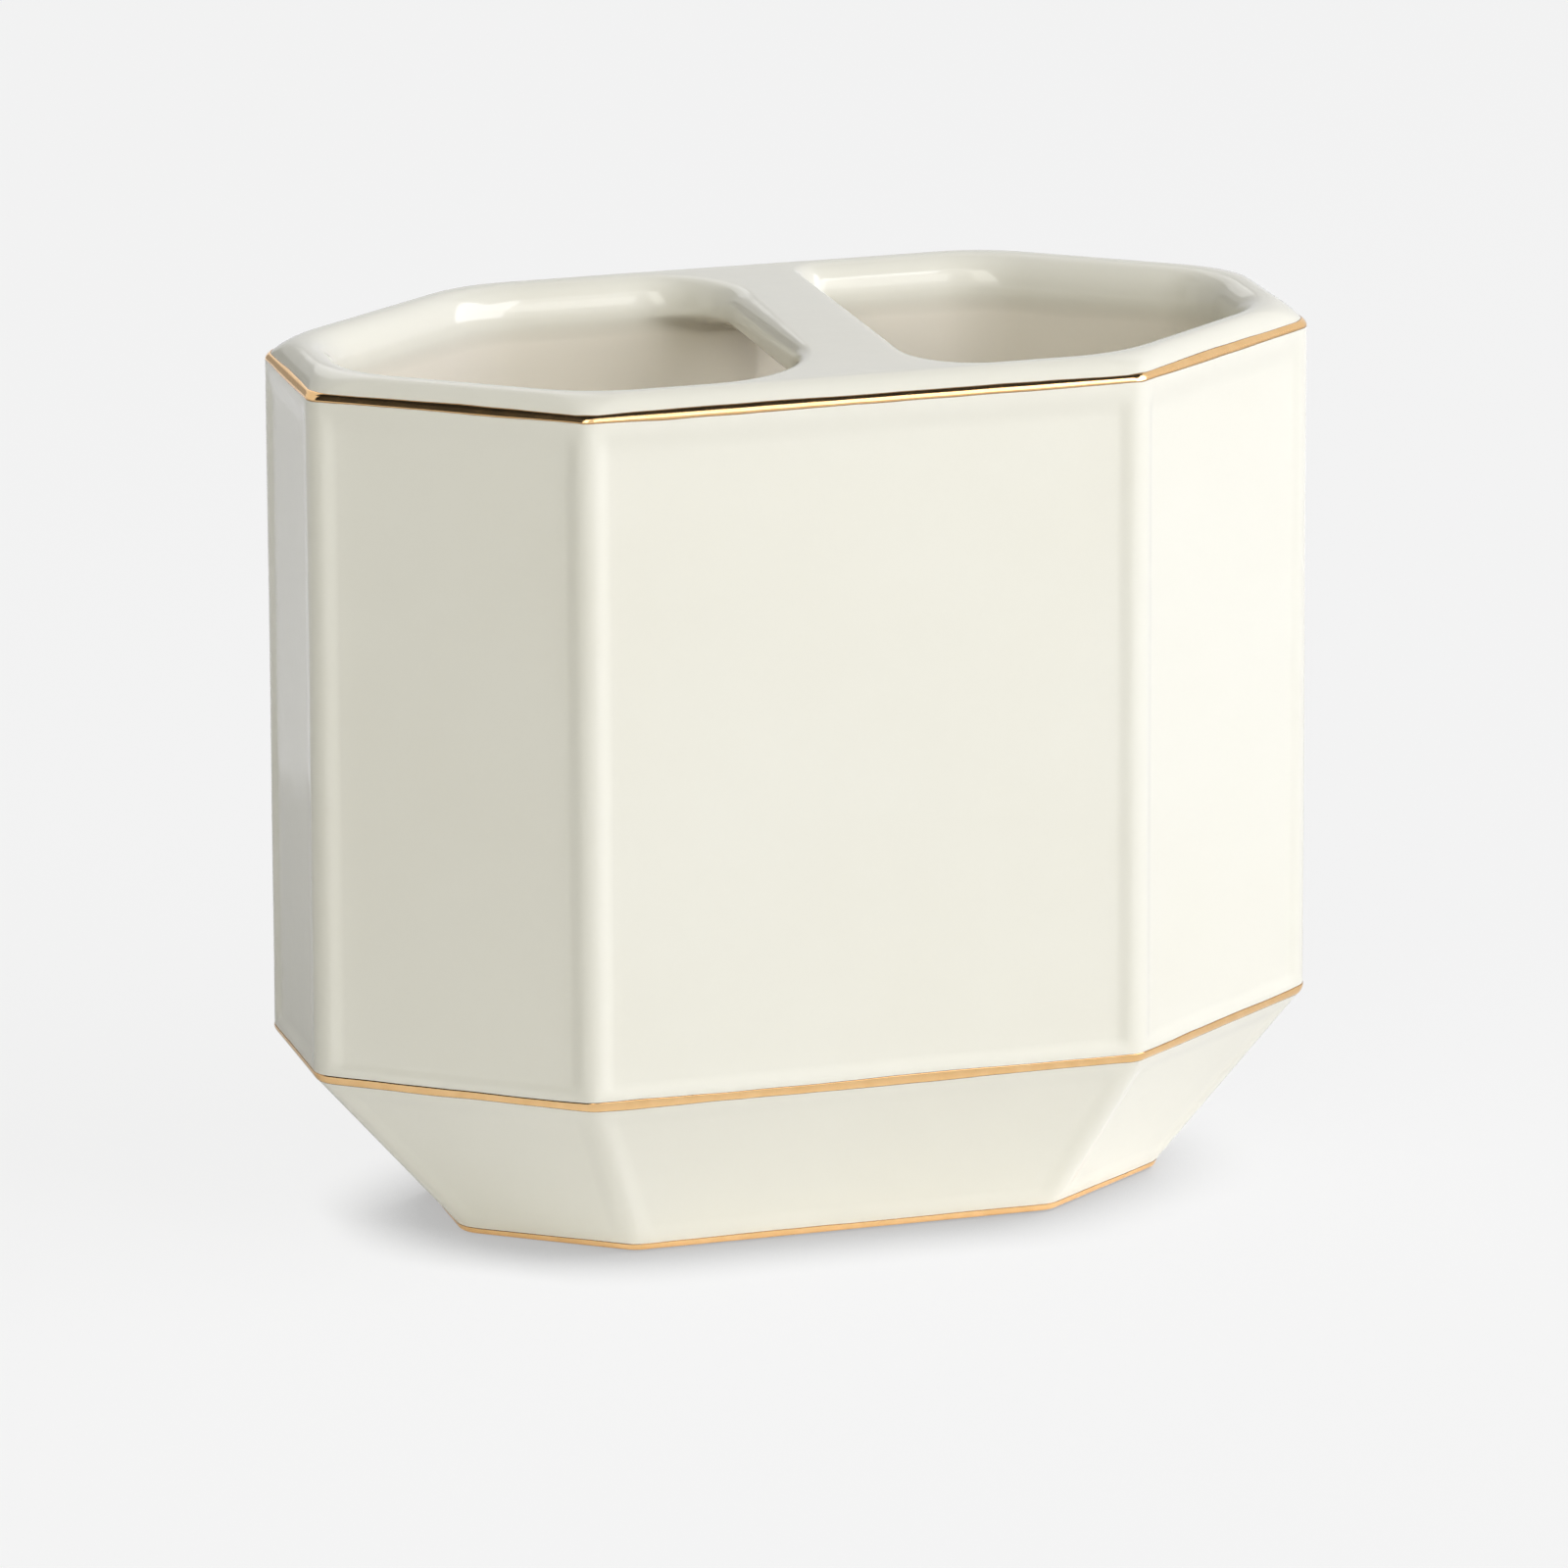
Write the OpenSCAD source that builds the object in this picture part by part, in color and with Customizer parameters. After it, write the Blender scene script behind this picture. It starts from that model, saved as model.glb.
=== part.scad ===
// Toothbrush holder: one glazed slip-cast vessel, eight-sided in plan, that tapers to a small foot.
// A bridge across its top leaves two mouths over one cavity. Three lines of gold lustre are painted
// on its edges, and four clear grip pads stand under it. Millimetres, +Z up. The origin is the middle
// of the footprint, on the surface that the holder stands on.

/* [Body] */
// Width between the two narrow end faces, at the rim
body_w = 126.4; // [110:0.2:150]
// Depth between the front and back faces, at the rim
body_d = 65; // [56:0.2:84]
// Width of the front and back faces, at the rim
front_w = 69.2; // [56:0.2:84]
// Width of the two narrow end faces, at the rim
end_w = 22.8; // [19:0.2:32]
// Height of the painted rim edge above the table
rim_z = 108; // [80:0.5:140]
// Height of the edge where the body starts to taper
waist_z = 22.4; // [16:0.2:34]
// How much further out each face stands at the waist than at the rim
draft = 0.3; // [0:0.1:1.5]
// Rounding of the upright edges
edge_r = 4.5; // [2:0.1:7]

/* [Foot] */
// Width of the foot between its end faces
foot_w = 90; // [76:0.2:104]
// Depth of the foot between its front and back faces
foot_d = 44.8; // [40:0.2:54]
// Width of the foot's front and back faces
foot_front_w = 53.4; // [46:0.2:62]
// Width of the foot's end faces
foot_end_w = 18.6; // [15:0.2:24]
// Rounding of the foot's eight corners
foot_edge_r = 3.4; // [1.5:0.1:5]
// Rounding where the foot meets the table
foot_r = 0.6; // [0.3:0.05:1]
// Width of the flat unglazed ring that the vessel was fired on
foot_ring_w = 4; // [3:0.1:5.5]
// Depth of the hollow inside that ring
recess_h = 1.5; // [0.8:0.1:2.5]

/* [Panels] */
// How deep each face is dished between its edges
panel_dip = 0.4; // [0:0.05:0.8]
// How deep each tapered lower face is dished
taper_dip = 0.25; // [0:0.05:0.5]
// Distance over which a rounded edge falls to the dished panel
rib_fall = 2.8; // [1.5:0.1:4]
// Height of the plain border between a painted line and the dished panel
border_h = 1.3; // [0.6:0.1:3]
// Distance over which that border falls to the dished panel
border_fall = 1.7; // [0.8:0.1:3]

/* [Rim] */
// Rounding of the outer rim edge
rim_r = 1.5; // [1:0.1:2]
// Height of the crown of the rim above its painted edge
crown_h = 2.1; // [1:0.1:3]
// Distance from the face to the crown of the rim
crown_in = 3.4; // [2.8:0.1:5]

/* [Mouths] */
// Distance from the face to the edge of the mouths
mouth_in = 7.4; // [6.6:0.1:10]
// Rounding of the mouths' front and back corners
mouth_corner_r = 16; // [3:0.5:20]
// Rounding of the mouths' corners at the end faces
mouth_end_r = 10; // [3:0.5:11]
// Depth of the rolled edge of the mouths, from the crown to its nose
roll_h = 4.6; // [2.5:0.1:5.5]
// Width of the bridge between the mouths
bridge_w = 12; // [10:0.2:20]
// Width of the rolled edge along the bridge
bridge_roll_w = 2.4; // [1:0.1:4]
// How far the bridge stands to the right of the middle
bridge_shift = 2.8; // [-6:0.1:6]
// How far the bridge's underside hangs below its edges
bridge_belly = 1.8; // [1:0.1:4]
// Distance from the walls over which the underside rises to that depth
belly_fall = 8; // [5:0.5:12]
// Fillet between the bridge and the front of the left mouth
front_left_r = 12; // [2.5:0.5:13]
// Fillet between the bridge and the front of the right mouth
front_right_r = 8.5; // [2.5:0.5:12]
// Fillet between the bridge and the back of the left mouth
back_left_r = 9.5; // [2.5:0.5:12]
// Fillet between the bridge and the back of the right mouth
back_right_r = 3; // [2.5:0.5:9]

/* [Walls] */
// Thickness of the upright walls
wall = 5; // [3.5:0.1:5.6]
// Overhang of the rolled edge over the hollow behind it
lip_over = 0.8; // [0.3:0.1:2.4]
// Height over which the wall falls back from the rolled edge
neck_fall = 3; // [2:0.5:12]
// Thickness of the tapered walls, measured level
taper_wall = 6.3; // [4.5:0.1:7]
// Height of the cavity's floor above the foot
floor_t = 5.5; // [4:0.1:8]
// Rounding between the floor and the walls of the cavity
floor_r = 5; // [3:0.5:7]
// Corner rounding of the cavity
cavity_r = 6; // [4:0.5:8]

/* [Gold lines] */
// Build-up of the lustre over the glaze
gold_t = 0.12; // [0.05:0.01:0.2]
// Height of the waist line, half of it above the edge
waist_line_h = 1.3; // [0.8:0.1:2]
// Height of the foot line's upper edge above the foot
foot_line_h = 1.35; // [1:0.05:2]

/* [Grip pads] */
// Diameter of a pad
pad_d = 8; // [5:0.5:9]
// How far a pad stands below the foot
pad_proud = 0.25; // [0.1:0.05:0.6]
// Free space between a pad and the edge of the hollow that it sits in
pad_gap = 1.6; // [1:0.1:3]

/* [Hidden] */

glaze_color = [0.94, 0.93, 0.87];
gold_color = [0.83, 0.62, 0.30];
pad_color = [0.86, 0.87, 0.86];

// How finely the loft is divided
arc_steps = 4;
fillet_steps = 3;
roll_steps = 6;
neck_steps = 4;
pad_sides = 48;

// The widest fall from a rounded edge, as a share of the face
widest_fall_share = 0.33;
// Places on the fall from a rounded edge to the dished panel, as shares of it
fall_shares = [0.5, 1];
// Places along a front or back face, from its corner to the bridge, as shares of that distance
bridge_shares = [0.6, 0.78, 0.9];
// Places along the bridge's straight side, as shares of its length
side_shares = [1 / 3, 2 / 3];
// Places along the bridge's middle line, as shares of half its length
spine_shares = [0.86, 0.72, 0.58, 0.2, -0.2, -0.58, -0.72, -0.86];
// Where the crown is given a ring, and how it bulges between the edge and the top
crown_shares = [0.17, 0.4, 0.68, 1];
crown_bulge = 1.8;
// How late the crown's corners grow rounder, on the way from the edge to the top
corner_growth = 1.5;
// How far down the rim's rounding its centre lies, as a share of its radius
rim_sink_share = 0.7;
// Angles on the rim's rounding, from level, at which it is given a ring
rim_angles = [0, 14, 34, 54];
// The turn of the waist and the foot's rounding, as shares of the line or radius that they follow
turn_share = 0.3;
// How far the crown's flat stays clear of the roll
land = 0.4;
// Where the foot's ring slopes up into the hollow, as a share of its depth
step_share = 0.25;
// Where the cavity's wall reaches its own thickness, and its inner break above the waist
shoulder_share = 8;
knee_share = 0.35;

foot_z = pad_proud;
crown_z = rim_z + crown_h;
nose_z = crown_z - roll_h;
neck_z = nose_z - neck_fall;
belly_z = nose_z - bridge_belly;
floor_z = foot_z + floor_t;
roll_w = mouth_in - crown_in - land;
// The crown's corners run parallel to those of the mouths
crown_corner_r = mouth_corner_r + roll_w + land;
crown_end_r = mouth_end_r + roll_w + land;

// An eight-sided outline is held as four half sizes: width, depth, front face and end face
rim_outline = [body_w, body_d, front_w, end_w] / 2;
waist_outline = inset(rim_outline, -draft);
foot_outline = [foot_w, foot_d, foot_front_w, foot_end_w] / 2;
recess_outline = inset(foot_outline, foot_ring_w + recess_h);

pad_x = recess_outline[2];
pad_y = recess_outline[1] - pad_d / 2 - pad_gap;

// Plain geometry in plan
function unit(v) = v / norm(v);
function mix(a, b, share) = a + (b - a) * share;
function turned(v, angle) = [v.x * cos(angle) - v.y * sin(angle), v.x * sin(angle) + v.y * cos(angle)];
function outward(v) = [v.y, -v.x];
function smooth(t) = t * t * (3 - 2 * t);

// The outline with every face moved in by d
function inset(o, d) =
    let (
        n = unit([o[1] - o[3], o[0] - o[2]]),
        reach = n * [o[2], o[1]] - d,
        half_w = o[0] - d,
        half_d = o[1] - d
    )
    [half_w, half_d, (reach - n.y * half_d) / n.x, (reach - n.x * half_w) / n.y];

// The eight corners, anticlockwise from the left end of the front face
function corners(o) = [
    [-o[2], -o[1]],
    [o[2], -o[1]],
    [o[0], -o[3]],
    [o[0], o[3]],
    [o[2], o[1]],
    [-o[2], o[1]],
    [-o[0], o[3]],
    [-o[0], -o[3]],
];

// The rounded corner of a loop of points, from its first tangent point to its last
function corner_arc(loop, i, r, steps) =
    let (
        n = len(loop),
        here = loop[i],
        u = unit(here - loop[(i + n - 1) % n]),
        v = unit(loop[(i + 1) % n] - here),
        turn = acos(u * v),
        centre = here - u * r * tan(turn / 2) - outward(u) * r
    )
    [for (k = [0:steps]) centre + turned(outward(u), turn * k / steps) * r];

// The points inside a face, from one rounded edge to the next, dished between them.
// A face that the bridge meets has more of them, gathered around the bridge's middle.
function face_points(from, to, dip, middle) =
    let (
        length = norm(to - from),
        v = (to - from) / length,
        back = -outward(v) * dip,
        fall = min(rib_fall, length * widest_fall_share),
        places = is_undef(middle) ? [] : concat(
            [for (s = bridge_shares) mix(fall, middle, s)],
            [middle],
            [for (k = [len(bridge_shares) - 1:-1:0]) mix(length - fall, middle, bridge_shares[k])]
        )
    )
    concat(
        [for (share = fall_shares) from + (v * fall + back) * share],
        [for (place = places) from + v * place + back],
        [for (share = reversed(fall_shares)) to + (back - v * fall) * share]
    );

// Distance along the front or back face to the bridge's middle, which other faces lack
function bridge_place(i, from) =
    i == 0 ? bridge_shift - from.x :
    i == 4 ? from.x - bridge_shift :
    undef;

// One ring of the loft: the outline with rounded corners and dished faces, at a height.
// The radius at the end faces' corners is end_r.
function ring(o, r, end_r, dip, z) =
    let (
        loop = corners(o),
        arcs = [for (i = [0:7]) corner_arc(loop, i, i % 4 > 1 ? end_r : r, arc_steps)]
    )
    [
        for (i = [0:7])
            let (
                from = arcs[i][arc_steps],
                to = arcs[(i + 1) % 8][0]
            )
            for (p = concat(arcs[i], face_points(from, to, dip, bridge_place(i, from))))
                [p.x, p.y, z]
    ];

// Stations of the loft, each one [outline, corner radius, end corner radius, dip, height]
function station(o, r, dip, z, end_r) = [o, r, is_undef(end_r) ? r : end_r, dip, z];
function station_ring(s) = ring(s[0], s[1], s[2], s[3], s[4]);

// A station above the wall, whose corners grow rounder towards the crown
function top_station(reach, z) =
    let (growth = pow(max(reach, 0) / crown_in, corner_growth))
    station(
        inset(rim_outline, reach), mix(edge_r, crown_corner_r, growth), 0, z,
        mix(edge_r, crown_end_r, growth)
    );

// A station on the rim's rounding or, past it, on the crown, raised by lift along its normal
function rim_station(angle, lift) = top_station(
    rim_r - (rim_r + lift) * cos(angle),
    rim_z - rim_r * rim_sink_share + (rim_r + lift) * sin(angle)
);

function crown_station(share, lift) =
    let (
        last = rim_angles[len(rim_angles) - 1],
        start_in = rim_r * (1 - cos(last)),
        start_z = rim_z + rim_r * (sin(last) - rim_sink_share),
        rise = 1 - pow(1 - share, crown_bulge)
    )
    top_station(
        mix(start_in, crown_in, share) - lift * cos(last),
        mix(start_z, crown_z, rise) + lift * sin(last)
    );

// A station on the upright wall
function wall_station(z, dip, lift) =
    let (
        top = rim_z - rim_r * rim_sink_share,
        share = (top - z) / (top - waist_z)
    )
    station(inset(rim_outline, -draft * share - lift), edge_r + lift, dip, z);

// A station on the tapered wall
function taper_station(z, dip, lift) =
    let (share = (z - foot_z - foot_r) / (waist_z - foot_z - foot_r))
    station(
        inset(mix(foot_outline, waist_outline, share), -lift),
        mix(foot_edge_r, edge_r, share) + lift, dip, z
    );

// A station inside the foot's edge
function foot_station(reach, rise, lift) =
    station(inset(foot_outline, reach - lift), foot_edge_r + lift, 0, foot_z + rise);

// The painted edges, from low to high, raised by lift over the glaze
function foot_line_stations(lift) = [
    foot_station(foot_r * turn_share, foot_r * turn_share, lift),
    foot_station(0, foot_r, lift),
    taper_station(foot_z + foot_line_h, 0, lift),
];

function waist_line_stations(lift) = [
    taper_station(waist_z - waist_line_h / 2, 0, lift),
    wall_station(waist_z, 0, lift - gold_t * turn_share),
    wall_station(waist_z + waist_line_h / 2, 0, lift),
];

function rim_line_stations(lift) = concat(
    [for (k = [1:len(rim_angles) - 1]) rim_station(rim_angles[k], lift)],
    [crown_station(crown_shares[0], lift)]
);

// The outside of the vessel, from the hollow under the foot up to the crown of the rim
function outer_stations() =
    let (
        taper_low = foot_z + foot_line_h + border_h,
        taper_high = waist_z - waist_line_h / 2 - border_h,
        wall_low = waist_z + waist_line_h / 2 + border_h,
        wall_high = rim_z - rim_r * rim_sink_share - border_h
    )
    concat(
        [
            foot_station(foot_ring_w + recess_h, recess_h, 0),
            foot_station(foot_ring_w + recess_h * step_share, recess_h * step_share, 0),
            foot_station(foot_ring_w, 0, 0),
            foot_station(foot_r, 0, 0),
        ],
        foot_line_stations(0),
        [
            taper_station(taper_low, 0, 0),
            taper_station(taper_low + border_fall / 2, taper_dip / 2, 0),
            taper_station(taper_low + border_fall, taper_dip, 0),
            taper_station(taper_high - border_fall, taper_dip, 0),
            taper_station(taper_high - border_fall / 2, taper_dip / 2, 0),
            taper_station(taper_high, 0, 0),
        ],
        waist_line_stations(0),
        [
            wall_station(wall_low, 0, 0),
            wall_station(wall_low + border_fall / 2, panel_dip / 2, 0),
            wall_station(wall_low + border_fall, panel_dip, 0),
            wall_station(wall_high - border_fall, panel_dip, 0),
            wall_station(wall_high - border_fall / 2, panel_dip / 2, 0),
            wall_station(wall_high, 0, 0),
            rim_station(rim_angles[0], 0),
        ],
        rim_line_stations(0),
        [for (k = [1:len(crown_shares) - 1]) crown_station(crown_shares[k], 0)]
    );

// The cavity under the mouths, from the neck down to the floor. Its corners grow tighter from the
// mouths' own to cavity_r.
function cavity_stations() =
    let (
        low_z = floor_z + floor_r,
        low = taper_station(low_z, 0, 0)[0],
        neck = inset(rim_outline, mouth_in - lip_over),
        shoulder = inset(rim_outline, wall)
    )
    concat(
        [
            station(neck, mouth_corner_r, 0, neck_z, mouth_end_r),
            station(shoulder, cavity_r, 0, neck_z - neck_fall * shoulder_share),
        ],
        [for (s = [
            [inset(waist_outline, wall), waist_z + wall * knee_share],
            [inset(low, taper_wall), low_z],
            [inset(low, taper_wall + floor_r * (1 - cos(45))), floor_z + floor_r * (1 - sin(45))],
            [inset(low, taper_wall + floor_r), floor_z],
        ]) station(s[0], cavity_r, 0, s[1])]
    );

// Corners of the right mouth, moved out by away, anticlockwise from the bridge's front end. The left
// one is its half turn, so edge is the distance from the middle to the mouth on its own side.
function mouth_corners(edge, away) =
    let (o = inset(rim_outline, mouth_in - away))
    [[edge, -o[1]], [o[2], -o[1]], [o[0], -o[3]], [o[0], o[3]], [o[2], o[1]], [edge, o[1]]];

// A loop around the mouth, away from its edge at the walls and side_away from it at the bridge. It
// starts in the middle of the fillet at the bridge's front end, and has one point for each point of
// half a ring and of the spine. The fillets at the bridge have radii of their own, from the loop's
// start and from its far end.
function mouth_loop(edge, start_r, end_r, away, side_away, z) =
    let (
        loop = mouth_corners(edge - side_away, away),
        bridge_front = corner_arc(loop, 0, start_r + side_away, 2 * fillet_steps),
        bridge_back = corner_arc(loop, 5, end_r + side_away, 2 * fillet_steps),
        radii = [mouth_corner_r, mouth_end_r, mouth_end_r, mouth_corner_r],
        arcs = [for (i = [0:3]) corner_arc(loop, i + 1, radii[i] + away, arc_steps)],
        side_from = bridge_back[2 * fillet_steps],
        side_to = bridge_front[0]
    )
    [
        for (p = concat(
            [for (k = [fillet_steps:2 * fillet_steps]) bridge_front[k]],
            late_points(bridge_front[2 * fillet_steps], arcs[0][0]),
            [for (i = [0:2]) each concat(arcs[i], plain_points(arcs[i][arc_steps], arcs[i + 1][0]))],
            arcs[3],
            early_points(arcs[3][arc_steps], bridge_back[0]),
            bridge_back,
            [for (share = side_shares) mix(side_from, side_to, share)],
            [for (k = [0:fillet_steps - 1]) bridge_front[k]]
        ))
        [p.x, p.y, z]
    ];

// Points on a straight side next to a rounded corner, which match those of a ring's faces
function early_points(from, to) =
    let (
        length = norm(to - from),
        fall = min(rib_fall, length * widest_fall_share)
    )
    [for (share = fall_shares) mix(from, to, share * fall / length)];

function late_points(from, to) = reversed(early_points(to, from));
function plain_points(from, to) = concat(early_points(from, to), late_points(from, to));

// Faces between two loops of point numbers, as triangles
function band(a, b) = [
    for (k = [0:len(a) - 1])
        let (n = (k + 1) % len(a))
        each [[a[k], b[k], b[n]], [a[k], b[n], a[n]]]
];

function bands(loops) = [for (k = [0:len(loops) - 2]) each band(loops[k], loops[k + 1])];
function flat(lists) = [for (l = lists) each l];
function numbers(start, count) = [for (k = [0:count - 1]) start + k];
function reversed(l) = [for (k = [len(l) - 1:-1:0]) l[k]];

// The part of a ring from the bridge's middle at one side to its middle at the other
function half(ids, start) = [for (k = [0:len(ids) / 2]) ids[(start + k) % len(ids)]];

ring_n = len(station_ring(outer_stations()[0]));
front_middle = arc_steps + 1 + len(fall_shares) + len(bridge_shares);
back_middle = front_middle + ring_n / 2;
spine_n = len(spine_shares);

// The middle line of the bridge, from back to front, on its top or its underside
function spine(half_length, z, end_z) = [
    for (s = spine_shares)
        let (clear = min(1, half_length * (1 - abs(s)) / belly_fall))
        [bridge_shift, half_length * s, mix(end_z, z, 1 - (1 - clear) * (1 - clear))]
];

// The loops that one mouth adds, from the crown over the roll to its nose
function roll_loops(edge, start_r, end_r) = [
    for (k = [0:roll_steps])
        let (
            angle = 90 * k / roll_steps,
            outside = 1 - sin(angle)
        )
        mouth_loop(
            edge, start_r, end_r, roll_w * outside, bridge_roll_w * outside,
            crown_z - roll_h * (1 - cos(angle))
        )
];

// The loops from the nose to the cavity's neck and to the bridge's underside.
// The wall falls back in a soft double curve, and the bridge's edge turns under in a quarter round.
function neck_loops(nose, target) =
    let (rim_n = ring_n / 2 + 1)
    [
        for (k = [1:neck_steps - 1])
            let (t = k / neck_steps)
            [
                for (j = [0:len(nose) - 1])
                    let (
                        under = j >= rim_n ? 1 : j == 0 || j == rim_n - 1 ? 0.5 : 0,
                        level_share = mix(smooth(t), 1 - cos(90 * t), under),
                        drop_share = mix(t, sin(90 * t), under),
                        a = nose[j],
                        b = target[j]
                    )
                    [mix(a.x, b.x, level_share), mix(a.y, b.y, level_share), mix(a.z, b.z, drop_share)]
            ]
    ];

function half_turn(loop) = [for (p = loop) [-p.x, -p.y, p.z]];

module vessel() {
    outer = [for (s = outer_stations()) station_ring(s)];
    cavity = [for (s = cavity_stations()) station_ring(s)];
    crown_spine = spine(inset(rim_outline, crown_in)[1], crown_z, crown_z);
    belly_spine = spine(inset(rim_outline, mouth_in - lip_over)[1], belly_z, neck_z);

    right_roll = roll_loops(bridge_w / 2 + bridge_shift, front_right_r, back_right_r);
    left_loops = roll_loops(bridge_w / 2 - bridge_shift, back_left_r, front_left_r);
    left_roll = [for (l = left_loops) half_turn(l)];
    right_target = concat(half(cavity[0], front_middle), belly_spine);
    left_target = concat(half(cavity[0], back_middle), reversed(belly_spine));
    right = concat(right_roll, neck_loops(right_roll[roll_steps], right_target));
    left = concat(left_roll, neck_loops(left_roll[roll_steps], left_target));

    outer_ids = [for (k = [0:len(outer) - 1]) numbers(k * ring_n, ring_n)];
    crown_start = len(outer) * ring_n;
    crown_ids = numbers(crown_start, spine_n);
    cavity_start = crown_start + spine_n;
    cavity_ids = [for (k = [0:len(cavity) - 1]) numbers(cavity_start + k * ring_n, ring_n)];
    belly_start = cavity_start + len(cavity) * ring_n;
    belly_ids = numbers(belly_start, spine_n);
    loop_n = len(right[0]);
    right_start = belly_start + spine_n;
    right_ids = [for (k = [0:len(right) - 1]) numbers(right_start + k * loop_n, loop_n)];
    left_start = right_start + len(right) * loop_n;
    left_ids = [for (k = [0:len(left) - 1]) numbers(left_start + k * loop_n, loop_n)];
    top_ids = outer_ids[len(outer) - 1];

    color(glaze_color)
        polyhedron(
            points = concat(
                flat(outer), crown_spine, flat(cavity), belly_spine, flat(right), flat(left)
            ),
            faces = concat(
                [outer_ids[0]],
                bands(outer_ids),
                bands(concat(
                    [concat(half(top_ids, front_middle), crown_ids)],
                    right_ids,
                    [concat(half(cavity_ids[0], front_middle), belly_ids)]
                )),
                bands(concat(
                    [concat(half(top_ids, back_middle), reversed(crown_ids))],
                    left_ids,
                    [concat(half(cavity_ids[0], back_middle), reversed(belly_ids))]
                )),
                bands(cavity_ids),
                [reversed(cavity_ids[len(cavity) - 1])]
            )
        );
}

// A painted line: a skin that lies on the vessel's own rings and stands out by the lustre's build-up
module gold_line(inner, raised) {
    rings = concat([for (s = reversed(inner)) station_ring(s)], [for (s = raised) station_ring(s)]);
    ids = [for (k = [0:len(rings) - 1]) numbers(k * ring_n, ring_n)];
    color(gold_color)
        polyhedron(points = flat(rings), faces = bands(concat(ids, [ids[0]])));
}

module rim_gold_line() {
    gold_line(rim_line_stations(0), rim_line_stations(gold_t));
}

module waist_gold_line() {
    gold_line(waist_line_stations(0), waist_line_stations(gold_t));
}

module foot_gold_line() {
    gold_line(foot_line_stations(0), foot_line_stations(gold_t));
}

// A clear pad, stuck to the hollow under the foot
module grip_pad(side, end) {
    color(pad_color)
        translate([side * pad_x, end * pad_y, 0])
            cylinder(d = pad_d, h = foot_z + recess_h, $fn = pad_sides);
}

module grip_pad_front_left() {
    grip_pad(-1, -1);
}

module grip_pad_front_right() {
    grip_pad(1, -1);
}

module grip_pad_back_left() {
    grip_pad(-1, 1);
}

module grip_pad_back_right() {
    grip_pad(1, 1);
}

vessel();
rim_gold_line();
waist_gold_line();
foot_gold_line();
grip_pad_front_left();
grip_pad_front_right();
grip_pad_back_left();
grip_pad_back_right();
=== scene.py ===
import math

import bpy
import numpy as np
from mathutils import Matrix, Vector, noise


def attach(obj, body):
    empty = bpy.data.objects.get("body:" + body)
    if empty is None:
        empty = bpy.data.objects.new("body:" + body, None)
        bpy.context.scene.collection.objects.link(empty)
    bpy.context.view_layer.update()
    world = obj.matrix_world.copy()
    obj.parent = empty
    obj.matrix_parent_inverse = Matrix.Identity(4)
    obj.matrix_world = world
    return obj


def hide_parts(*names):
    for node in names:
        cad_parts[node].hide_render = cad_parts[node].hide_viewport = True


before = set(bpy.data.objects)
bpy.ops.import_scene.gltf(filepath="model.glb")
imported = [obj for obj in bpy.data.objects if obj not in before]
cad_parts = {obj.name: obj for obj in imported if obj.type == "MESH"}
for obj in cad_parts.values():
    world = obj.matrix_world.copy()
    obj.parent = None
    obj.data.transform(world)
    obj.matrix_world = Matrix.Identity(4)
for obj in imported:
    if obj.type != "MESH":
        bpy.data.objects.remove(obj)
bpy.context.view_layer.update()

# Sizes of the holder, in millimetres. They are those of its construction, but for the edges, dishes
# and rolls that the photograph shows more finely.
MM = 0.001
BODY_W, BODY_D, FRONT_W, END_W = 126.4, 65.0, 69.2, 22.8
RIM_Z, WAIST_Z, DRAFT, EDGE_R = 108.0, 22.4, 0.3, 3.2
FOOT_W, FOOT_D, FOOT_FRONT_W, FOOT_END_W = 90.0, 44.8, 53.4, 18.6
FOOT_EDGE_R, FOOT_R, FOOT_RING_W, RECESS_H = 3.4, 0.6, 4.0, 1.5
PANEL_DIP, TAPER_DIP, RIB_FALL, BORDER_H = 0.4, 0.25, 2.0, 0.4
TAPER_FALLS, WALL_FALLS = (2.0, 2.5), (1.8, 3.5)
RIM_R, CROWN_H, CROWN_IN = 1.5, 2.1, 3.4
MOUTH_IN, MOUTH_CORNER_R, MOUTH_END_R = 7.4, 16.0, 10.0
FRONT_LEFT_R, FRONT_RIGHT_R, BACK_LEFT_R, BACK_RIGHT_R = 15.0, 8.5, 9.5, 3.0
ROLL_H, BACK_LEFT_ROLL_W, FRONT_LEFT_ROLL_W, RIGHT_ROLL_W = 4.6, 3.8, 1.0, 1.6
BRIDGE_W, BRIDGE_SHIFT, BRIDGE_BELLY, BELLY_FALL = 12.6, 3.1, 1.8, 8.0
WALL, LIP_OVER, NECK_FALL, TAPER_WALL = 5.0, 0.25, 2.8, 6.3
FLOOR_T, FLOOR_R, CAVITY_R = 5.5, 5.0, 6.0
WAIST_LINE_H, FOOT_LINE_H = 1.3, 1.35
PAD_D, PAD_PROUD, PAD_GAP, PAD_SOFT = 8.0, 0.25, 1.6, 0.25
RIM_LAST_ANGLE, LAND = 54.0, 0.4

# Shares and powers that shape the curves between these sizes
CORNER_GROWTH, CROWN_BULGE, RIM_SINK_SHARE, WIDEST_FALL_SHARE = 1.5, 1.8, 0.7, 0.33
SHOULDER_SHARE, KNEE_SHARE, BRIDGE_THIN, BARE_SHARE = 8.0, 0.35, 0.22, 0.3

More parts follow.
